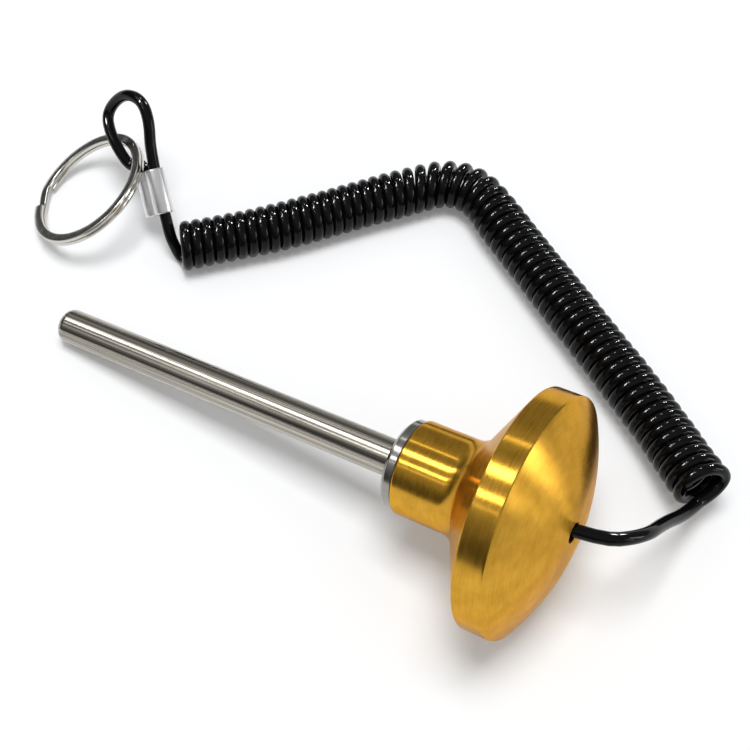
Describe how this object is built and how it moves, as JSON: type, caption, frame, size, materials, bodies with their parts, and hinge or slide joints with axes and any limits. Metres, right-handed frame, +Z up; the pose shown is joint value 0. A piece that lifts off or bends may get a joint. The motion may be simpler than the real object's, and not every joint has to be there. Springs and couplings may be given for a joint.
{
  "type": "weight stack pin",
  "caption": "Magnetic weight stack selector pin: steel pin in a round dished knob, with a coiled tether cord, crimped eye and split ring.",
  "frame": {"origin": "under the middle of the rigid pin, on the surface it lies on", "axes": "+Z up, the pin points towards -X as it lies, the coiled cord lies at +Y"},
  "size_m": [0.2116, 0.1323, 0.0612],
  "materials": {
    "anodised_gold": "turned, brushed round the axis and gold anodised",
    "pin_steel": "ground and polished",
    "nickel": "bright nickel plate",
    "magnet": "grey sintered magnet",
    "aluminium": "satin",
    "black_cord": "glossy smooth sheath"
  },
  "bodies": {
    "root": {"knob": "anodised_gold", "selector_pin": "pin_steel", "magnet_cup": "nickel", "ring_magnet": "magnet", "cord_stop": "aluminium", "cord_lead": "black_cord", "cord_coil": "black_cord", "cord_tail": "black_cord", "ferrule": "aluminium"},
    "ring": {"split_ring": "nickel"}
  },
  "joints": [
    {"name": "ring_swing", "type": "hinge", "parent": "root", "child": "ring", "pos_m": [-0.0906, 0.05, 0.0157], "axis": [-0.7735, -0.6236, 0.1129], "range_deg": [0, 90]}
  ]
}
